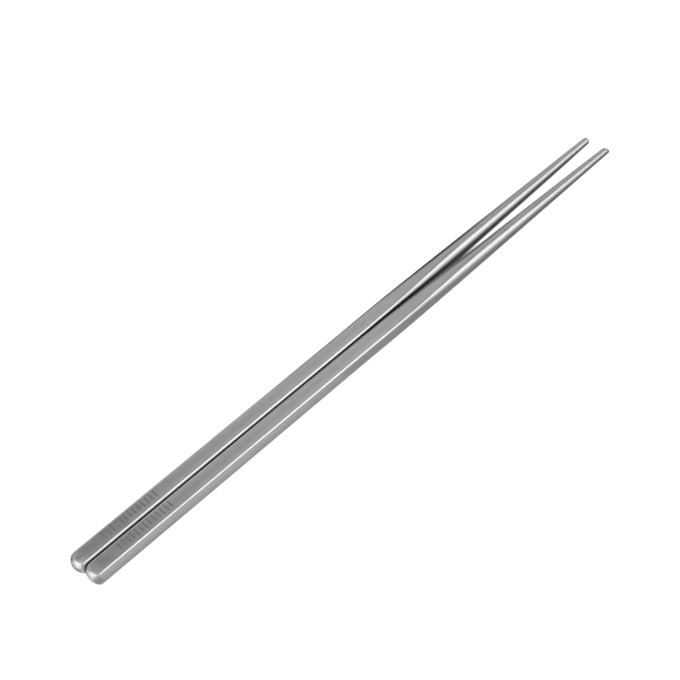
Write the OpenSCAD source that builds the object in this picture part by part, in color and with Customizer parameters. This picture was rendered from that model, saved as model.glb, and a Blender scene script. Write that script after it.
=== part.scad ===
// A pair of titanium chopsticks lying side by side, handles at -X, tips at +X.
// Each stick is a rounded square bar with a domed end. One straight round taper cuts
// the four long edges away, so the flats run out in tongues and the rest is round.
// The far stick lies at +Y and ends in a round tip, the near one at -Y in a slanted cut.

/* [Pair] */
// Length of one stick along its axis
stick_l = 235; // [200:1:270]
// Clear gap between the two handles
pair_gap = 0.3; // [0.1:0.1:3]
// How much further toward the tips the near stick lies
near_shift = 0.6; // [0:0.1:5]

/* [Handle] */
// Width of the square handle across its flats
handle_w = 5.6; // [4.5:0.1:8]
// Radius of the four long edges
edge_r = 0.8; // [0.4:0.1:1.6]
// How far the domed end is opened out past the handle's corners
dome_ease = 0.5; // [0.05:0.05:1]

/* [Shank] */
// Length of the round taper, from its first cut into the edges to the tip
taper_l = 110; // [70:1:140]
// Diameter at the tip
tip_d = 2.5; // [1.6:0.1:4]
// Distance of the slight outward bend ahead of the taper
bend_ahead = 15; // [6:1:30]
// Angle by which each shank leans away from the other, in degrees
shank_lean = 0.45; // [0.1:0.05:1.5]

/* [Tips] */
// Slant of the cut on the near stick's tip, in degrees from a square cut
tip_slant = 30; // [5:1:50]

/* [Hidden] */
$fn = 96;
half_w = handle_w / 2;
// Distance from the axis to the outside of a rounded corner
corner_reach = (half_w - edge_r) * sqrt(2) + edge_r;
dome_r = corner_reach + dome_ease;
tip_r = tip_d / 2;
taper_slope = (corner_reach - tip_r) / taper_l;
bend_z = stick_l - taper_l - bend_ahead;
// Radius of the round tip, which is the taper's own radius where the round begins
round_r = tip_r / (1 - taper_slope);
// Length by which a stretch runs past the plane that trims it
overrun = 4;
// Edge of a cube that stands for everything on one side of a plane
far_reach = 2 * stick_l;
middle_x = (stick_l + near_shift) / 2;

// Section of the handle: two crossed bars and a disc in each corner
module handle_section() {
    inner = handle_w - 2 * edge_r;
    square([handle_w, inner], center = true);
    square([inner, handle_w], center = true);
    for (sx = [-1, 1], sy = [-1, 1])
        translate([sx * inner / 2, sy * inner / 2]) circle(r = edge_r);
}

module bar(from, to) {
    translate([0, 0, from]) linear_extrude(height = to - from) handle_section();
}

module above() {
    translate([-far_reach / 2, -far_reach / 2, 0]) cube(far_reach);
}

module below() {
    translate([-far_reach / 2, -far_reach / 2, -far_reach]) cube(far_reach);
}

// Handle: the bar inside an envelope with a round nose
module handle() {
    intersection() {
        bar(0, bend_z + overrun);
        translate([0, 0, dome_r]) union() {
            sphere(r = dome_r);
            cylinder(r = handle_w, h = bend_z);
        }
    }
}

// Straight round taper between two heights
module taper(from, to) {
    translate([0, 0, from])
        cylinder(
            r1 = tip_r + taper_slope * (stick_l - from),
            r2 = tip_r + taper_slope * (stick_l - to),
            h = to - from
        );
}

module shank(end_z) {
    intersection() {
        bar(bend_z - overrun, end_z);
        taper(bend_z - overrun, end_z);
    }
}

module round_tipped_shank() {
    shank(stick_l - round_r);
    translate([0, 0, stick_l - round_r]) intersection() {
        sphere(r = round_r);
        above();
    }
}

// The cut is longest on the outer side, where it keeps the full length
module slant_tipped_shank() {
    difference() {
        shank(stick_l);
        translate([0, tip_r, stick_l]) rotate([tip_slant, 0, 0]) above();
    }
}

// One stick along Z: the handle below the bend's mitre plane, its child above it
module stick() {
    half_lean = shank_lean / 2;
    translate([0, 0, bend_z]) rotate([-half_lean, 0, 0]) {
        intersection() {
            rotate([half_lean, 0, 0]) translate([0, 0, -bend_z]) handle();
            below();
        }
        intersection() {
            rotate([-half_lean, 0, 0]) translate([0, 0, -bend_z]) children();
            above();
        }
    }
}

// Lays a stick down at +Y, on one flat of its handle, leaning outward
module lay_down() {
    translate([-middle_x, (handle_w + pair_gap) / 2, half_w]) rotate([0, 90, 0]) children();
}

module far_chopstick() {
    color([0.62, 0.62, 0.62]) lay_down() stick() round_tipped_shank();
}

module near_chopstick() {
    color([0.62, 0.62, 0.62]) translate([near_shift, 0, 0]) mirror([0, 1, 0])
        lay_down() stick() slant_tipped_shank();
}

far_chopstick();
near_chopstick();
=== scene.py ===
"""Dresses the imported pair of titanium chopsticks: two satin bars that lie side by side.

Each stick is one Geometry Nodes tree that follows the part's own rule: a rounded square
bar with a domed end, cut by one straight round taper, with a round or a slanted tip.
"""
import math

import bmesh
import bpy
from mathutils import Euler, Matrix, Vector


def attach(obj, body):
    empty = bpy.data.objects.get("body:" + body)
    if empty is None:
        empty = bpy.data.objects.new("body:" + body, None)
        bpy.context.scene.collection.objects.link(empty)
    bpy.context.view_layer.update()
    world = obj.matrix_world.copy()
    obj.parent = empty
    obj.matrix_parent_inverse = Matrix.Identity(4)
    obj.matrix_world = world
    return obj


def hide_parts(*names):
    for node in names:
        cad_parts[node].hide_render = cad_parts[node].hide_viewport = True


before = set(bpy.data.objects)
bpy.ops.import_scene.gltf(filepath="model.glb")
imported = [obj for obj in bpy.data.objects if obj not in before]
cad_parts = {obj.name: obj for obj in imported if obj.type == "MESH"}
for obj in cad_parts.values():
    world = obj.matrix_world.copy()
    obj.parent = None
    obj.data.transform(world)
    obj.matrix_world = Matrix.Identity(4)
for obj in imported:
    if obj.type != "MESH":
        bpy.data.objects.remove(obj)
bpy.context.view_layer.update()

MM = 0.001
QUARTER_TURN = math.pi / 2

# Sizes of the pair, as in the part's source
STICK_LENGTH = 235 * MM
PAIR_GAP = 0.3 * MM
NEAR_SHIFT = 0.6 * MM
HANDLE_WIDTH = 5.6 * MM
EDGE_RADIUS = 0.8 * MM
DOME_EASE = 0.5 * MM
TAPER_LENGTH = 110 * MM
TIP_DIAMETER = 2.5 * MM
BEND_AHEAD = 15 * MM
SHANK_LEAN = math.radians(0.45)
TIP_SLANT = math.radians(30)

# Sizes that only the dressed sticks have
DOME_SOFTNESS = 1.2 * MM
CREASE_SOFTNESS = 0.3 * MM
FLAT_CROWN = 0.06 * MM
BEND_RUN = 6 * MM
CUT_RIM = 0.2 * MM

# Short etched bars, one row on each handle's upper flat
BAR_COUNT = 13
BAR_PITCH = 1.62 * MM
BAR_WIDTH = 0.5 * MM
BAR_LENGTH = 2.7 * MM
BAR_DEPTH = 0.05 * MM
BAR_CORNER = 0.14 * MM
FIRST_BAR = 12 * MM
ROW_OFFSET = 0.4 * MM

# Rings of points along a stick and points around it
NOSE_RINGS = 28
BODY_RINGS = 380
RIM_RINGS = 10
CAP_RINGS = 6
POINTS_AROUND = 128

# Points nearer than this are one point, and edges bent more than this stay sharp
WELD_DISTANCE = 1e-6
SHARP_ANGLE = math.radians(50)


# Reckoning with the sockets of a node tree


class Quantity:
    """A socket of a node tree that can be reckoned with like a number."""

    def __init__(self, tree, socket):
        self.tree = tree
        self.socket = socket

    def math(self, operation, *others, clamped=False):
        node = self.tree.nodes.new("ShaderNodeMath")
        node.operation = operation
        node.use_clamp = clamped
        for place, value in enumerate((self, *others)):
            feed(self.tree, node.inputs[place], value)
        return Quantity(self.tree, node.outputs[0])

    def __add__(self, other):
        return self.math("ADD", other)

    def __radd__(self, other):
        return self.math("ADD", other)

    def __sub__(self, other):
        return self.math("SUBTRACT", other)

    def __rsub__(self, other):
        return (self * -1) + other

    def __mul__(self, other):
        return self.math("MULTIPLY", other)

    def __rmul__(self, other):
        return self.math("MULTIPLY", other)

    def __truediv__(self, other):
        return self.math("DIVIDE", other)

    def share(self, start, end):
        """How far this has come from start to end, from 0 to 1."""
        return ((self - start) / (end - start)).math("ADD", 0, clamped=True)

    def smooth_share(self, start, end):
        """The same, with a soft beginning and end."""
        along = self.share(start, end)
        return along * along * (3 - 2 * along)

    def sin(self):
        return self.math("SINE")

    def cos(self):
        return self.math("COSINE")

    def root(self):
        return self.most(0).math("SQRT")

    def absolute(self):
        return self.math("ABSOLUTE")

    def least(self, other):
        return self.math("MINIMUM", other)

    def most(self, other):
        return self.math("MAXIMUM", other)


def feed(tree, socket, value):
    """Links a quantity or a socket to an input, or writes a plain value on it."""
    if isinstance(value, Quantity):
        tree.links.new(value.socket, socket)
    elif isinstance(value, bpy.types.NodeSocket):
        tree.links.new(value, socket)
    else:
        socket.default_value = value


def add_node(tree, kind, settings=None, **inputs):
    """Adds a node. Inputs are named in lower case, with _ for a space."""
    node = tree.nodes.new(kind)
    for name, value in (settings or {}).items():
        setattr(node, name, value)
    for name, value in inputs.items():
        label = name.replace("_", " ")
        socket = next(
            s for s in node.inputs if s.name.lower() == label and s.enabled
        )
        feed(tree, socket, value)
    return node


def first_output(tree, kind, settings=None, **inputs):
    """Adds a node in the same way, and returns its first output."""
    return add_node(tree, kind, settings, **inputs).outputs[0]


def join_xyz(tree, x, y, z):
    return first_output(tree, "ShaderNodeCombineXYZ", x=x, y=y, z=z)


def new_input(tree, name, kind, value=None):
    socket = tree.interface.new_socket(name, in_out="INPUT", socket_type=kind)
    if value is not None:
        socket.default_value = value


def new_output(tree, name, kind):
    tree.interface.new_socket(name, in_out="OUTPUT", socket_type=kind)


def new_object(name, data):
    """An object of this name in the scene."""
    thing = bpy.data.objects.new(name, data)
    bpy.context.scene.collection.objects.link(thing)
    return thing


# The stick as a Geometry Nodes tree

# Named inputs of the tree, with their first values: sizes, then counts
STICK_INPUTS = {
    "Stick Length": STICK_LENGTH,
    "Handle Width": HANDLE_WIDTH,
    "Edge Radius": EDGE_RADIUS,
    "Dome Ease": DOME_EASE,
    "Dome Softness": DOME_SOFTNESS,
    "Crease Softness": CREASE_SOFTNESS,
    "Flat Crown": FLAT_CROWN,
    "Taper Length": TAPER_LENGTH,
    "Tip Diameter": TIP_DIAMETER,
    "Bend Ahead": BEND_AHEAD,
    "Bend Run": BEND_RUN,
    "Shank Lean": SHANK_LEAN,
    "Tip Slant": TIP_SLANT,
    "Tip Rim": CUT_RIM,
    "Handle End": 0.0,
    "Axis Offset": 0.0,
    "Side": 1.0,
    "First Bar": FIRST_BAR,
    "Bar Pitch": BAR_PITCH,
    "Bar Width": BAR_WIDTH,
    "Bar Length": BAR_LENGTH,
    "Bar Depth": BAR_DEPTH,
    "Bar Corner": BAR_CORNER,
    "Row Offset": ROW_OFFSET,
}
STICK_COUNTS = {
    "Nose Rings": NOSE_RINGS,
    "Body Rings": BODY_RINGS,
    "Rim Rings": RIM_RINGS,
    "Cap Rings": CAP_RINGS,
    "Points Around": POINTS_AROUND,
    "Bar Count": BAR_COUNT,
}
# Stretches of rings, from the handle end to the middle of the tip
STRETCHES = ("Nose Rings", "Body Rings", "Rim Rings", "Cap Rings")
# Share of an eighth of the ring's points that lies on the flat
FLAT_SHARE = 0.375
# Least angle that the flat's points keep, so that they never fall together
LEAST_FLAT_ANGLE = math.radians(10)
# Keeps the rounding of a sum from taking a value to the wrong side of a step
STEP_MARGIN = 1e-5
# Keeps the dome's first ring clear of a division by zero
LEAST_SINE = 1e-6
# How late the flats' crown falls off towards the edges
CROWN_POWER = 3
# Where a rubbed corner sets in, ahead of its own start and past it
CORNER_AHEAD = math.radians(5)
CORNER_PAST = math.radians(2)
# How far the taper lies outside a corner where that corner begins to count, and counts fully
CORNER_CLEAR = (-0.02 * MM, 0.05 * MM)
# Width of a rubbed crease, to each side
CREASE_BAND = 0.12 * MM
# Where the painted sheen at the edges of the handle's flats ends, ahead of the taper's start and
# past it
BORDER_AHEAD = 15 * MM
BORDER_PAST = 12 * MM
# Reach of a cut's rough rim with its painted shade, and the least slope that counts as slanted
GROUND_RUN = 0.5 * MM
LEAST_SLANT = 0.01


def ring_shares(tree, count):
    """How far round its ring each point lies, and how far each stretch has come there."""
    index = Quantity(tree, first_output(tree, "GeometryNodeInputIndex"))
    columns = count["Points Around"] + 1
    ring = (index / columns + STEP_MARGIN).math("FLOOR")
    around = (index - ring * columns) / count["Points Around"]
    stretches = []
    start = 0
    for stretch in STRETCHES:
        end = count[stretch] + start
        stretches.append(ring.share(start, end))
        start = end
    return around, stretches


def angle_around(around, flat_end):
    """The angle of a point on its ring, and its angle from the middle of its flat."""
    quarter = (around * 4).math("FLOOR")
    in_quarter = around * 4 - quarter
    to_corner = 1 - (in_quarter * 2 - 1).absolute()
    over_corner = ((to_corner - FLAT_SHARE) / (1 - FLAT_SHARE)).most(0)
    off_flat = flat_end * (to_corner / FLAT_SHARE).least(1)
    off_flat = off_flat + (QUARTER_TURN / 2 - flat_end) * over_corner
    past_corner = in_quarter.math("GREATER_THAN", 0.5)
    turned_by = off_flat + past_corner * (QUARTER_TURN - 2 * off_flat)
    return quarter * QUARTER_TURN + turned_by, off_flat


def rounded_square(off_flat, corner_start, half_width, edge_radius):
    """The distance from the axis to a square bar with rounded edges."""
    inner = half_width - edge_radius
    across = off_flat.cos()
    aside = off_flat.sin()
    corner_part = inner * inner * (2 * across * aside - 1) + edge_radius * edge_radius
    corner_bar = inner * (across + aside) + corner_part.root()
    on_flat = off_flat.math("LESS_THAN", corner_start + STEP_MARGIN)
    return corner_bar + on_flat * (half_width / across - corner_bar)


def outward_bend(size, taper_start, x):
    """How far outward the bend has moved the stick's axis at x, and how it leans there."""
    bend_x = taper_start - size["Bend Ahead"]
    run = size["Bend Run"]
    lean = size["Shank Lean"]
    bent = x.share(bend_x - run, bend_x + run)
    return lean * (run * bent * bent + (x - bend_x - run).most(0)), lean * bent


def lay_rings(tree, size, count):
    """Places the points of one grid on the stick, and returns position and masks."""
    around, (nose, body, rim, cap) = ring_shares(tree, count)
    half_width = size["Handle Width"] / 2
    edge_radius = size["Edge Radius"]
    inner = half_width - edge_radius
    corner_reach = inner * math.sqrt(2) + edge_radius
    dome_radius = corner_reach + size["Dome Ease"]
    tip_radius = size["Tip Diameter"] / 2
    slope = (corner_reach - tip_radius) / size["Taper Length"]
    length = size["Stick Length"]
    tip_rim = size["Tip Rim"]
    slant = size["Tip Slant"].math("TANGENT")

    # A flat's points end at its crease with the taper, or at the corner where it has none
    nominal_x = dome_radius + body * (length - tip_rim - dome_radius)
    nominal_cone = tip_radius + slope * (length - nominal_x)
    corner_start = inner.math("ARCTAN2", half_width)
    crease = (half_width / nominal_cone).least(1).math("ARCCOSINE")
    flat_end = corner_start.least(crease).most(LEAST_FLAT_ANGLE)
    angle, off_flat = angle_around(around, flat_end)
    outward = angle.cos()
    upward = angle.sin()
    bar = rounded_square(off_flat, corner_start, half_width, edge_radius)
    # The flats fall off a little ahead of the edges, as hand polishing leaves them
    bar = bar - size["Flat Crown"] * (off_flat * 2).sin().math("POWER", CROWN_POWER)

    # Domed end
    fall = nose * QUARTER_TURN
    fall_cos = fall.cos()
    dome = bar / fall.sin().most(LEAST_SINE)
    dome = dome.math("SMOOTH_MIN", dome_radius, size["Dome Softness"] * fall_cos)
    nose_x = dome_radius - dome * fall_cos
    nose_reach = dome * fall.sin()

    # Handle and round taper, up to the rim of the tip
    drop = tip_radius * slant * (1 - outward) / (1 + slant * slope * outward)
    rim_x = length - drop - tip_rim
    body_x = dome_radius + body * (rim_x - dome_radius)
    cone = tip_radius + slope * (length - body_x)
    body_reach = bar.math("SMOOTH_MIN", cone, size["Crease Softness"])

    # Rim of the tip and the flat cut inside it
    roll = rim * QUARTER_TURN
    inset = tip_rim * (1 - roll.cos())
    inset = inset + cap * (body_reach - tip_rim)
    x = nose_x + body * (rim_x - dome_radius) + tip_rim * roll.sin()
    x = x - inset * outward * slant
    reach = nose_reach + (body_reach - bar) - inset

    # Slight outward bend
    taper_start = length - size["Taper Length"]
    middle_y, turn = outward_bend(size, taper_start, x)
    y = reach * outward
    final_x = size["Handle End"] + x - y * turn.sin()
    final_y = size["Side"] * (size["Axis Offset"] + middle_y + y * turn.cos())
    final_z = half_width + reach * upward
    position = join_xyz(tree, final_x, final_y, final_z)

    # Where the edges lie, for their polish: the four corners and both creases of each flat
    corner = off_flat.smooth_share(corner_start - CORNER_AHEAD, corner_start + CORNER_PAST)
    near_crease = 1 - (bar - cone).absolute().share(0, CREASE_BAND)
    whole_corner = corner * (cone - bar).share(*CORNER_CLEAR)
    edge = whole_corner.most(near_crease * near_crease)
    # Painted sheen: the handle's flats are lighter towards their edges and over the edge arcs
    painted_border_sheen = (off_flat / flat_end).least(1)
    beyond = body_x.smooth_share(taper_start - BORDER_AHEAD, taper_start + BORDER_PAST)
    painted_border_sheen = painted_border_sheen * (1 - beyond)
    # The rim of a slanted cut is left rough as the grinding made it, with painted shade in its
    # tone
    slanted = slant.math("GREATER_THAN", LEAST_SLANT)
    grinding_and_shade = x.share(rim_x - GROUND_RUN, rim_x) * slanted
    return position, {"edge": edge, "along": x, "painted_border_sheen": painted_border_sheen, "grinding_and_shade": grinding_and_shade}


def bar_cutters(tree, size, count, surface):
    """A row of short bars with rounded corners, half sunk in the handle's upper flat."""
    outline = first_output(
        tree,
        "GeometryNodeCurvePrimitiveQuadrilateral",
        width=size["Bar Width"],
        height=size["Bar Length"],
    )
    rounded = first_output(
        tree, "GeometryNodeFilletCurve", curve=outline, radius=size["Bar Corner"]
    )
    face = first_output(tree, "GeometryNodeFillCurve", {"mode": "NGONS"}, curve=rounded)
    raised = first_output(
        tree,
        "GeometryNodeExtrudeMesh",
        {"mode": "FACES"},
        mesh=face,
        offset_scale=size["Bar Depth"] * 2,
    )
    underside = first_output(tree, "GeometryNodeFlipFaces", mesh=face)
    both = add_node(tree, "GeometryNodeJoinGeometry")
    tree.links.new(raised, both.inputs[0])
    tree.links.new(underside, both.inputs[0])
    closed = first_output(
        tree,
        "GeometryNodeMergeByDistance",
        geometry=both.outputs[0],
        distance=WELD_DISTANCE,
    )
    start = join_xyz(
        tree,
        size["Handle End"] + size["First Bar"],
        size["Side"] * size["Axis Offset"] + size["Row Offset"],
        size["Handle Width"] - size["Bar Depth"],
    )
    row = first_output(
        tree,
        "GeometryNodeMeshLine",
        {"mode": "OFFSET"},
        count=count["Bar Count"],
        start_location=start,
        offset=join_xyz(tree, size["Bar Pitch"], 0.0, 0.0),
    )
    bars = first_output(tree, "GeometryNodeInstanceOnPoints", points=row, instance=closed)
    real = first_output(tree, "GeometryNodeRealizeInstances", geometry=bars)
    return first_output(tree, "GeometryNodeSetMaterial", geometry=real, material=surface)


def stick_tree():
    """One tree for both sticks: a grid laid in rings, with the etched bars cut in."""
    tree = bpy.data.node_groups.new("Square to Round Stick", "GeometryNodeTree")
    tree.is_modifier = True
    new_input(tree, "Geometry", "NodeSocketGeometry")
    for name, value in STICK_INPUTS.items():
        new_input(tree, name, "NodeSocketFloat", value)
    for name, value in STICK_COUNTS.items():
        new_input(tree, name, "NodeSocketInt", value)
    new_input(tree, "Surface", "NodeSocketMaterial")
    new_input(tree, "Etched Surface", "NodeSocketMaterial")
    new_output(tree, "Geometry", "NodeSocketGeometry")
    given = add_node(tree, "NodeGroupInput").outputs
    size = {name: Quantity(tree, given[name]) for name in STICK_INPUTS}
    count = {name: Quantity(tree, given[name]) for name in STICK_COUNTS}

    mesh = first_output(
        tree,
        "GeometryNodeMeshGrid",
        vertices_x=sum(count[stretch] for stretch in STRETCHES) + 1,
        vertices_y=count["Points Around"] + 1,
    )
    position, masks = lay_rings(tree, size, count)
    for name, value in masks.items():
        mesh = first_output(
            tree,
            "GeometryNodeStoreNamedAttribute",
            {"data_type": "FLOAT", "domain": "POINT"},
            geometry=mesh,
            name=name,
            value=value,
        )
    placed = first_output(tree, "GeometryNodeSetPosition", geometry=mesh, position=position)
    welded = first_output(
        tree, "GeometryNodeMergeByDistance", geometry=placed, distance=WELD_DISTANCE
    )
    outward = first_output(
        tree,
        "GeometryNodeFlipFaces",
        mesh=welded,
        selection=size["Side"].math("GREATER_THAN", 0),
    )
    skinned = first_output(
        tree, "GeometryNodeSetMaterial", geometry=outward, material=given["Surface"]
    )
    cut = first_output(
        tree,
        "GeometryNodeMeshBoolean",
        {"operation": "DIFFERENCE", "solver": "EXACT"},
        mesh_1=skinned,
        mesh_2=bar_cutters(tree, size, count, given["Etched Surface"]),
    )
    smooth = first_output(tree, "GeometryNodeSetShadeSmooth", geometry=cut)
    add_node(tree, "NodeGroupOutput", geometry=smooth)
    return tree


def make_stick(name, tree, surface, etched, values):
    """Runs the tree with this stick's own values and keeps its result as a plain mesh."""
    carrier = new_object(name + "_rule", bpy.data.meshes.new(name + "_rule"))
    modifier = carrier.modifiers.new("Stick", "NODES")
    modifier.node_group = tree
    identifiers = {
        item.name: item.identifier
        for item in tree.interface.items_tree
        if item.item_type == "SOCKET" and item.in_out == "INPUT"
    }
    given = {**values, "Surface": surface, "Etched Surface": etched}
    for label, value in given.items():
        modifier[identifiers[label]] = value
    shown = carrier.evaluated_get(bpy.context.evaluated_depsgraph_get())
    mesh = bpy.data.meshes.new_from_object(shown)
    mesh.name = name
    bpy.data.objects.remove(carrier)
    build = bmesh.new()
    build.from_mesh(mesh)
    bmesh.ops.remove_doubles(build, verts=build.verts, dist=WELD_DISTANCE)
    bmesh.ops.recalc_face_normals(build, faces=build.faces)
    for edge in build.edges:
        sharp = len(edge.link_faces) == 2 and edge.calc_face_angle() > SHARP_ANGLE
        edge.smooth = not sharp
    build.to_mesh(mesh)
    build.free()
    return new_object(name, mesh)


# Materials

MICRON = 0.001 * MM
TITANIUM_TONE = 0.345
ETCH_TONE = 0.192
# Each finish: its values where no detail shows, and what each detail adds to them. Tones
# are shares of the metal's own tone, and heights are in thousandths of a millimetre. The
# rim of a slanted cut has its great depth because it seems to fall away, and its tone is
# darkened there as painted shade.
SATIN_BASE = {"tone": 0.9, "roughness": 0.25, "height": 0.0}
SATIN_DETAILS = {
    "cloud": {"tone": 0.13, "roughness": 0.05},
    "lines": {"tone": 0.07, "roughness": 0.05, "height": 0.4},
    "polish": {"tone": 0.05, "roughness": -0.05},
    # Painted sheen, lighter towards the edges of the handle's flats
    "painted_border_sheen": {"tone": 0.18},
    "hairlines": {"tone": -0.1, "roughness": -0.06, "height": -0.6},
    "dome": {"roughness": 0.08},
    "cover": {"tone": -0.12, "roughness": 0.03},
    "rings": {"height": 2.6},
    "specks": {"tone": 0.22, "height": 4.5},
    # The rim of a slanted cut: rougher as the grinding left it, and darker as painted shade
    "grinding_and_shade": {"tone": -0.12, "roughness": 0.25, "height": -260},
}
ETCHED_BASE = {"tone": 0.75, "roughness": 0.46, "height": 0.0}
ETCHED_DETAILS = {
    "cloud": {"tone": 0.3, "roughness": 0.08, "height": 4},
    "hatch": {"tone": 0.2, "roughness": 0.06, "height": 2},
    "polish": {"tone": 0.3},
}
# Lengthwise grain: its fine lines, how much longer and wider the broad ones are, and their share
GRAIN_LENGTH = 5 * MM
GRAIN_WIDTH = 0.05 * MM
BROAD_LONGER = 4
BROAD_WIDER = 5
BROAD_SHARE = 0.45
# Mottle: its small patches, how much longer and wider the large ones are, and their share
PATCH_WIDTH = 1.2 * MM
PATCH_STRETCH = 2.5
LARGE_LONGER = 5
LARGE_WIDER = 3
LARGE_SHARE = 0.5
MOTTLE_RANGE = (0.3, 0.7)
# Handling marks: their size, the two ways that they run, in degrees, and how they break off
MARK_LENGTH = 14 * MM
MARK_SPACING = 1.6 * MM
MARK_THINNESS = 0.012
MARK_TURNS = ((20, 10, 24), (-35, -8, -15))
MARK_BREAK = 0.4
MARK_BREAK_RANGE = (0.52, 0.62)
# Rubbed edges: their broken stretches, and how soft these begin
RUBBED_LENGTH = 3 * MM
RUBBED_COVER = 0.6
RUBBED_WIDTH = 0.3
RUBBED_MIDDLE = 0.75
RUBBED_SOFTNESS = 0.12
# Where the textured last stretch begins and ends, from the handle end, and how it looks
TEXTURE_START = 200 * MM
TEXTURE_RUN = 8 * MM
TEXTURE_END = 233.4 * MM
TEXTURE_FADE = 1 * MM
RING_PITCH = 0.62 * MM
RING_DRIFT = 0.5
DRIFT_LENGTH = 2 * MM
DRIFT_WIDTH = 1 * MM
SPECK_LENGTH = 0.32 * MM
SPECK_WIDTH = 0.8
SPECK_RANGE = (0.35, 0.65)
# Where the rougher domed end fades out, from the handle end
DOME_FADE = (2 * MM, 5.5 * MM)
# The etched bars' own scale: hatching across them, fine patches, and few rubbed edges
HATCH_WIDTH = 0.08 * MM
HATCH_LENGTH = 1.5 * MM
ETCHED_PATCH = 0.25 * MM
ETCHED_COVER = 0.3
# How many finer layers a noise has
PLAIN = 0.0
LAYERED = 2.0
FINE = 3.0


def shader_group(name, inputs, outputs):
    """A new node group of values with these inputs, where None stands for a vector."""
    tree = bpy.data.node_groups.new(name, "ShaderNodeTree")
    for label, value in inputs.items():
        kind = "NodeSocketVector" if value is None else "NodeSocketFloat"
        new_input(tree, label, kind, value)
    given = add_node(tree, "NodeGroupInput").outputs
    for label in outputs:
        new_output(tree, label, "NodeSocketFloat")
    done = add_node(tree, "NodeGroupOutput").inputs
    return tree, {label: Quantity(tree, given[label]) for label in inputs}, done


def stretched_noise(tree, place, length, width, detail=LAYERED):
    """Noise from 0 to 1 with patches of this length along X and this width across it."""
    spread = add_node(tree, "ShaderNodeVectorMath", {"operation": "DIVIDE"})
    feed(tree, spread.inputs[0], place)
    feed(tree, spread.inputs[1], join_xyz(tree, length, width, width))
    noise = first_output(
        tree, "ShaderNodeTexNoise", vector=spread.outputs[0], scale=1.0, detail=detail
    )
    return Quantity(tree, noise)


def turned(tree, place, angles):
    """The place, turned by these degrees about X, Y and Z."""
    turn = add_node(tree, "ShaderNodeVectorRotate", {"rotation_type": "EULER_XYZ"})
    feed(tree, turn.inputs["Vector"], place)
    turn.inputs["Rotation"].default_value = [math.radians(angle) for angle in angles]
    return turn.outputs[0]


def grain_group():
    """Fine lines that the satin finishing leaves along a stick, over broad ones."""
    inputs = {"Place": None, "Line Width": GRAIN_WIDTH, "Line Length": GRAIN_LENGTH}
    tree, given, done = shader_group("Lengthwise Grain", inputs, ["Lines"])
    place, width, length = given.values()
    fine = stretched_noise(tree, place, length, width, FINE)
    broad = stretched_noise(tree, place, length * BROAD_LONGER, width * BROAD_WIDER)
    feed(tree, done["Lines"], fine * (1 - BROAD_SHARE) + broad * BROAD_SHARE)
    return tree


def mottle_group():
    """Soft cloudy patches of a hand-finished metal, small ones over large ones."""
    inputs = {"Place": None, "Patch": PATCH_WIDTH, "Stretch": PATCH_STRETCH}
    tree, given, done = shader_group("Satin Mottle", inputs, ["Cloud"])
    place, width, stretch = given.values()
    length = width * stretch
    small = stretched_noise(tree, place, length, width, FINE)
    large = stretched_noise(tree, place, length * LARGE_LONGER, width * LARGE_WIDER)
    cloud = small * (1 - LARGE_SHARE) + large * LARGE_SHARE
    feed(tree, done["Cloud"], cloud.smooth_share(*MOTTLE_RANGE))
    return tree


def marks_group():
    """Sparse hairlines from handling: the thin border between a noise's patches."""
    inputs = {
        "Place": None,
        "Length": MARK_LENGTH,
        "Spacing": MARK_SPACING,
        "Thinness": MARK_THINNESS,
    }
    tree, given, done = shader_group("Handling Marks", inputs, ["Hairlines"])
    place, length, spacing, thinness = given.values()
    lines = []
    for angles in MARK_TURNS:
        way = turned(tree, place, angles)
        patches = stretched_noise(tree, way, length, spacing, PLAIN)
        line = 1 - ((patches - 0.5).absolute() / thinness).least(1)
        breaks = stretched_noise(tree, way, length * MARK_BREAK, spacing)
        lines.append(line * breaks.smooth_share(*MARK_BREAK_RANGE))
    feed(tree, done["Hairlines"], lines[0].most(lines[1]))
    return tree


def rubbed_group():
    """Edges rubbed brighter and smoother by use, in broken stretches."""
    inputs = {
        "Place": None,
        "Edge": 0.0,
        "Stretch Length": RUBBED_LENGTH,
        "Cover": RUBBED_COVER,
    }
    tree, given, done = shader_group("Rubbed Edges", inputs, ["Polish"])
    place, edge, length, cover = given.values()
    patches = stretched_noise(tree, place, length, length * RUBBED_WIDTH, FINE)
    start = RUBBED_MIDDLE - cover * 0.5
    rubbed = edge * patches.smooth_share(start - RUBBED_SOFTNESS, start + RUBBED_SOFTNESS)
    feed(tree, done["Polish"], rubbed)
    return tree


def tip_group():
    """Turned rings and a light blast that give a stick's last stretch its grip."""
    inputs = {
        "Place": None,
        "Along": 0.0,
        "Start": TEXTURE_START,
        "Run": TEXTURE_RUN,
        "End": TEXTURE_END,
        "Ring Pitch": RING_PITCH,
        "Speck": SPECK_LENGTH,
    }
    tree, given, done = shader_group("Tip Texture", inputs, ["Cover", "Rings", "Specks"])
    place, along, start, run, end, pitch, speck = given.values()
    cover = along.smooth_share(start, start + run)
    cover = cover - along.smooth_share(end - TEXTURE_FADE, end)
    specks = stretched_noise(tree, place, speck, speck * SPECK_WIDTH)
    drift = stretched_noise(tree, place, DRIFT_LENGTH, DRIFT_WIDTH) * RING_DRIFT
    rings = ((along / pitch + drift) * math.tau).sin() * 0.5 + 0.5
    feed(tree, done["Cover"], cover)
    feed(tree, done["Rings"], cover * rings)
    feed(tree, done["Specks"], cover * specks.smooth_share(*SPECK_RANGE))
    return tree


def read_attribute(tree, name):
    node = add_node(tree, "ShaderNodeAttribute", {"attribute_name": name})
    return Quantity(tree, node.outputs["Fac"])


def placed_group(tree, group, **inputs):
    """Places a node group in a material. Returns its outputs by name, in lower case."""
    node = add_node(tree, "ShaderNodeGroup", {"node_tree": group}, **inputs)
    return {socket.name.lower(): Quantity(tree, socket) for socket in node.outputs}


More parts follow.
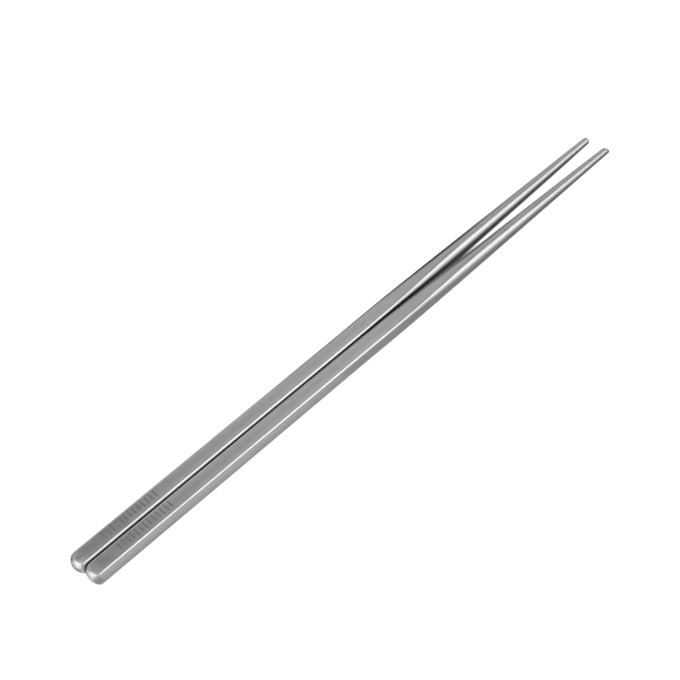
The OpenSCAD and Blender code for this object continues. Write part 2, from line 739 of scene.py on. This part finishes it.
def bare_metal(name):
    """A material with a metallic shader. Returns it with its tree, shader and place."""
    material = bpy.data.materials.new(name)
    material.use_nodes = True
    tree = material.node_tree
    shader = tree.nodes["Principled BSDF"]
    shader.inputs["Metallic"].default_value = 1.0
    place = add_node(tree, "ShaderNodeTexCoord").outputs["Object"]
    return material, tree, shader, place


def finish_metal(tree, shader, metal_tone, base, added, details):
    """Links tone, roughness and bump: the base, and what each detail adds to it."""
    total = dict(base)
    for name, shares in added.items():
        for value, share in shares.items():
            total[value] = total[value] + details[name] * share
    tone = total["tone"] * metal_tone
    feed(tree, shader.inputs["Base Color"], join_xyz(tree, tone, tone, tone))
    feed(tree, shader.inputs["Roughness"], total["roughness"])
    bump = first_output(
        tree, "ShaderNodeBump", strength=1.0, distance=MICRON, height=total["height"]
    )
    tree.links.new(bump, shader.inputs["Normal"])


def satin_titanium(grain, mottle, marks, rubbed, tip):
    """The sticks' main finish: satin metal, with a blasted last stretch."""
    material, tree, shader, place = bare_metal("satin titanium")
    along = read_attribute(tree, "along")
    edge = read_attribute(tree, "edge")
    details = {
        **placed_group(tree, grain, place=place),
        **placed_group(tree, mottle, place=place),
        **placed_group(tree, marks, place=place),
        **placed_group(tree, rubbed, place=place, edge=edge),
        **placed_group(tree, tip, place=place, along=along),
        # Painted sheen towards the edges of the handle's flats
        "painted_border_sheen": read_attribute(tree, "painted_border_sheen"),
        # The cut's rim: rough as the grinding left it, with painted shade in its tone
        "grinding_and_shade": read_attribute(tree, "grinding_and_shade"),
        "dome": 1 - along.smooth_share(*DOME_FADE),
    }
    finish_metal(tree, shader, TITANIUM_TONE, SATIN_BASE, SATIN_DETAILS, details)
    return material


def etched_titanium(grain, mottle, rubbed):
    """The bars' own finish: dull and dark, with the hatching that etches them."""
    material, tree, shader, place = bare_metal("etched titanium")
    across = turned(tree, place, (0, 0, 90))
    edge = read_attribute(tree, "edge")
    hatch = placed_group(
        tree, grain, place=across, line_width=HATCH_WIDTH, line_length=HATCH_LENGTH
    )
    details = {
        "hatch": hatch["lines"],
        **placed_group(tree, mottle, place=place, patch=ETCHED_PATCH, stretch=1.0),
        **placed_group(tree, rubbed, place=place, edge=edge, cover=ETCHED_COVER),
    }
    finish_metal(tree, shader, ETCH_TONE, ETCHED_BASE, ETCHED_DETAILS, details)
    return material


# Camera, floor, world and lamps, with places and sizes in metres and turns in degrees

SENSOR_WIDTH = 36
LENS = 85.1
CAMERA_PLACE = (-0.23471, -0.21102, 0.39626)
CAMERA_TURN = (38.60, 0, -46.53)
SEEN_FROM = 0.01
SEEN_TO = 20

WHITE = (1, 1, 1, 1)
UP = Vector((0, 0, 1))
FLOOR_SIZE = 6
PAPER_TONE = 0.95
# What the metal mirrors of the paper, at the handles and at the tips, and where it fades
MIRRORED_TONE = 0.8
TIP_MIRRORED_TONE = 0.28
PAPER_FADE = (-0.02, 0.13)
PAPER_GLOW = 0.08
# Share of plain white that the camera sees in the floor, over the lit paper with its shadow
WHITE_SHARE = 0.7
WHITE_LEVEL = 1.3
# Between the sticks the bare paper and its shadow show, up to where the wedge opens,
# and the paper's colour there is darkened as painted shade
WEDGE_START = (0.046, 0.058)
WEDGE_EDGE = (0.003, 0.005)
GAP_START = (-0.03, -0.01)
PAINTED_WEDGE_SHADE_DEPTH = 0.4
# The strip under the far shank, where the bare paper shows and its colour is darkened
# as painted shadow: how its near edge runs, where it starts and ends
STRIP_SLOPE = 0.0321
STRIP_EDGE = (-0.00001, 0.00017)
STRIP_BACK = (0.0055, 0.0065)
STRIP_START = (0.03, 0.05)
STRIP_END = (0.106, 0.112)
PAINTED_STRIP_SHADOW_DEPTH = 0.75
# Strength of the world's own light on the sticks and the paper
SKY_LEVEL = 0.35
# Cards on the floor in front of the handles, with their stretch along X and their tone
FRONT_CARDS = (
    (-0.114, -0.040, 0.91),
    (-0.040, -0.030, 0.87),
    (-0.030, -0.022, 0.80),
    (-0.022, -0.014, 0.75),
)
FRONT_CARD_Y = -0.019
FRONT_CARD_DEPTH = 0.025
# Height of a card that lies on the floor
CARD_HEIGHT = 0.0004


def add_camera():
    """The camera, where the photograph was taken from."""
    camera_data = bpy.data.cameras.new("camera")
    camera_data.sensor_width = SENSOR_WIDTH
    camera_data.lens = LENS
    camera_data.clip_start = SEEN_FROM
    camera_data.clip_end = SEEN_TO
    camera = new_object("camera", camera_data)
    camera.rotation_euler = Euler([math.radians(angle) for angle in CAMERA_TURN])
    camera.location = Vector(CAMERA_PLACE)
    bpy.context.scene.camera = camera


def rectangle(name, width, height):
    """A flat mesh of one face around its own middle."""
    x = width / 2
    y = height / 2
    mesh = bpy.data.meshes.new(name)
    mesh.from_pydata([(-x, -y, 0), (x, -y, 0), (x, y, 0), (-x, y, 0)], [], [(0, 1, 2, 3)])
    return mesh


def empty_tree(owner):
    """The node tree of a material or a world, with nothing in it."""
    owner.use_nodes = True
    owner.node_tree.nodes.clear()
    return owner.node_tree


def mixed(tree, share, first, second):
    """The first shader where the share is 0, and the second where it is 1."""
    blend = tree.nodes.new("ShaderNodeMixShader")
    for place, value in enumerate((share, first, second)):
        feed(tree, blend.inputs[place], value)
    return blend.outputs[0]


def glow(tree, strength):
    return first_output(tree, "ShaderNodeEmission", color=WHITE, strength=strength)


def seen_rays(tree, *kinds):
    """1 for a ray of one of these kinds, such as the camera's own."""
    path = tree.nodes.new("ShaderNodeLightPath")
    mask = Quantity(tree, path.outputs[kinds[0]])
    for kind in kinds[1:]:
        mask = mask.most(Quantity(tree, path.outputs[kind]))
    return mask


def dark_places(x, y):
    """Masks of the strip under the far shank, and of the wedge where it is narrow: both show the
    bare paper, painted darker as shadow.
    """
    strip = (y - x * STRIP_SLOPE).smooth_share(*STRIP_EDGE) * (1 - y.smooth_share(*STRIP_BACK))
    strip = strip * x.smooth_share(*STRIP_START) * (1 - x.smooth_share(*STRIP_END))
    narrow = x.smooth_share(*GAP_START) * (1 - x.smooth_share(*WEDGE_START))
    narrow = narrow * (1 - y.absolute().smooth_share(*WEDGE_EDGE))
    return strip, narrow


def paper_floor():
    """White to the camera, with painted shadow under the far shank and between the sticks. What
    the metal reflects darkens from the handles to the tips.
    """
    floor = new_object("floor", rectangle("floor", FLOOR_SIZE, FLOOR_SIZE))
    paper = bpy.data.materials.new("white paper")
    tree = empty_tree(paper)
    place = add_node(tree, "ShaderNodeTexCoord").outputs["Object"]
    split = add_node(tree, "ShaderNodeSeparateXYZ", vector=place)
    x = Quantity(tree, split.outputs[0])
    y = Quantity(tree, split.outputs[1])
    strip, narrow = dark_places(x, y)
    seen = seen_rays(tree, "Is Camera Ray")
    tone = MIRRORED_TONE + x.smooth_share(*PAPER_FADE) * (TIP_MIRRORED_TONE - MIRRORED_TONE)
    # The paper's own colour, painted darker as shadow under the far shank and in the wedge
    painted_shadow_tone = PAPER_TONE * (1 - strip * PAINTED_STRIP_SHADOW_DEPTH) * (1 - narrow * PAINTED_WEDGE_SHADE_DEPTH)
    tone = tone + seen * (painted_shadow_tone - tone)
    colour = join_xyz(tree, tone, tone, tone)
    lit = add_node(tree, "ShaderNodeBsdfDiffuse", color=colour)
    both = tree.nodes.new("ShaderNodeAddShader")
    feed(tree, both.inputs[0], lit.outputs[0])
    feed(tree, both.inputs[1], glow(tree, seen_rays(tree, "Is Glossy Ray") * PAPER_GLOW))
    share = seen * WHITE_SHARE * (1 - narrow.most(strip))
    shown = mixed(tree, share, both.outputs[0], glow(tree, WHITE_LEVEL))
    add_node(tree, "ShaderNodeOutputMaterial", surface=shown)
    floor.data.materials.append(paper)


def studio_world():
    """White to the camera and in the metal, and a soft dim light on everything."""
    world = bpy.data.worlds.new("studio")
    bpy.context.scene.world = world
    tree = empty_tree(world)
    white = first_output(tree, "ShaderNodeBackground", color=WHITE, strength=1.0)
    sky = first_output(tree, "ShaderNodeBackground", color=WHITE, strength=SKY_LEVEL)
    seen = seen_rays(tree, "Is Camera Ray", "Is Glossy Ray", "Is Transmission Ray")
    add_node(tree, "ShaderNodeOutputWorld", surface=mixed(tree, seen, sky, white))


def face_towards(thing, place, aim, along):
    """Puts a lamp or card at place, looking at aim, with its width along this direction."""
    back = (Vector(place) - Vector(aim)).normalized()
    wide = Vector(along)
    wide = (wide - wide.dot(back) * back).normalized()
    high = back.cross(wide)
    thing.matrix_world = Matrix((wide, high, back)).transposed().to_4x4()
    thing.location = place


def softbox(name, place, aim, along, size, radiance):
    """An area lamp of this width and height, and of this radiance."""
    width, height = size
    lamp = bpy.data.lights.new(name, "AREA")
    lamp.shape = "RECTANGLE"
    lamp.size = width
    lamp.size_y = height
    lamp.energy = radiance * math.pi * width * height
    box = new_object(name, lamp)
    face_towards(box, place, aim, along)
    box.visible_camera = False


def flag(name, place, aim, size, tone, along=(1, 0, 0)):
    """A card of this width, height and tone that only reflections see."""
    card = new_object(name, rectangle(name, *size))
    face_towards(card, place, aim, along)
    card.visible_camera = False
    card.visible_shadow = False
    card.visible_diffuse = False
    cloth = bpy.data.materials.new(name + " cloth")
    tree = empty_tree(cloth)
    add_node(tree, "ShaderNodeOutputMaterial", surface=glow(tree, tone))
    card.data.materials.append(cloth)


def floor_card(name, x, y, size, tone, height=CARD_HEIGHT):
    """A card that lies on the floor and faces up."""
    place = Vector((x, y, height))
    flag(name, place, place + UP, size, tone)


def add_lights():
    """The lamps, and the cards that the sticks mirror."""
    # The key softbox hangs where the camera's mirror image falls in the long upper edges
    softbox(
        "key softbox",
        place=(0.288, -0.29, 0.465),
        aim=(0, 0, 0),
        along=(0.877, -0.405, -0.258),
        size=(0.85, 0.36),
        radiance=2.15,
    )
    # Bright on the domed ends
    softbox(
        "end softbox",
        place=(-0.42, 0.05, 0.12),
        aim=(-0.1, 0, 0),
        along=(0, 1, 0),
        size=(0.28, 0.24),
        radiance=2.4,
    )
    # Tones of the upper flats, from the handles to the shanks
    flag("handle flag", (0.005, 0.27, 0.47), aim=(-0.14, 0, 0), size=(0.16, 0.34), tone=0.24)
    flag("middle flag", (0.2, 0.25, 0.47), aim=(-0.04, 0, 0), size=(0.12, 0.3), tone=0.81)
    flag("shank flag", (0.41, 0.19, 0.465), aim=(0.06, 0, 0), size=(0.2, 0.28), tone=0.9)
    flag("bend card", (0.285, 0.25, 0.47), aim=(0, 0, 0), size=(0.08, 0.3), tone=1.25)
    # The dark line over each shank's highlight, and the fainter highlight at the tips
    flag("line flag", (0.43, 0.09, 0.455), aim=(0.06, 0, 0), size=(0.24, 0.11), tone=0.12)
    flag("tip flag", (0.375, -0.309, 0.185), aim=(0.1, 0, 0), size=(0.1, 0.14), tone=0.9)
    # The dark line along the far stick's back
    flag("back flag", (0.175, 0.26, 0.05), aim=(0.1, 0, 0.05), size=(0.14, 0.14), tone=0.02)
    flag("back rim flag", (0.17, 0.26, 0.175), aim=(0.1, 0, 0.05), size=(0.09, 0.16), tone=0.05)
    floor_card("back shank card", 0.1, 0.03, size=(0.06, 0.045), tone=0.7)
    floor_card("back floor flag", 0.04, 0.037, size=(0.056, 0.061), tone=0.04)
    # Pale places that the near handle's side mirrors, fainter towards the shank
    for start, end, tone in FRONT_CARDS:
        size = (end - start, FRONT_CARD_DEPTH)
        floor_card("front card", (start + end) / 2, FRONT_CARD_Y, size, tone)
    # Light and dark places in the domed ends
    flag("front softbox", (-0.245, -1.13, 0.92), aim=(0, 0, 0), size=(0.8, 0.5), tone=2.8)
    floor_card("end card", -0.27, 0.0475, size=(0.295, 0.105), tone=2.2)
    floor_card("near end card", -0.1186, -0.002, size=(0.004, 0.005), tone=1.3, height=0.0003)
    floor_card("corner flag", -0.118, 0.0235, size=(0.036, 0.026), tone=0.05, height=0.0008)
    flag(
        "corner screen",
        (-0.172, 0.0885, 0.01),
        aim=(-0.117, 0.003, 0.005),
        size=(0.06, 0.04),
        tone=0.05,
        along=(0.84, 0.54, 0),
    )


# The scene, put together

add_camera()

grain = grain_group()
mottle = mottle_group()
rubbed = rubbed_group()
titanium = satin_titanium(grain, mottle, marks_group(), rubbed, tip_group())
etching = etched_titanium(grain, mottle, rubbed)
rule = stick_tree()
middle_x = (STICK_LENGTH + NEAR_SHIFT) / 2
axis_offset = (HANDLE_WIDTH + PAIR_GAP) / 2
edge_flat = HANDLE_WIDTH / 2 - EDGE_RADIUS
taper_slope = (edge_flat * math.sqrt(2) + EDGE_RADIUS - TIP_DIAMETER / 2) / TAPER_LENGTH
far_stick = make_stick(
    "far_stick",
    rule,
    titanium,
    etching,
    {
        "Handle End": -middle_x,
        "Axis Offset": axis_offset,
        "Side": 1.0,
        "Tip Slant": 0.0,
        "Tip Rim": TIP_DIAMETER / 2 / (1 - taper_slope),
    },
)
near_stick = make_stick(
    "near_stick",
    rule,
    titanium,
    etching,
    {
        "Handle End": NEAR_SHIFT - middle_x,
        "Axis Offset": axis_offset,
        "Side": -1.0,
    },
)
for stick, node, slot in (
    (far_stick, "far_chopstick", "far_titanium"),
    (near_stick, "near_chopstick", "near_titanium"),
):
    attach(stick, "root")
    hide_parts(node)

paper_floor()
studio_world()
add_lights()

bpy.context.scene.view_settings.view_transform = "Standard"
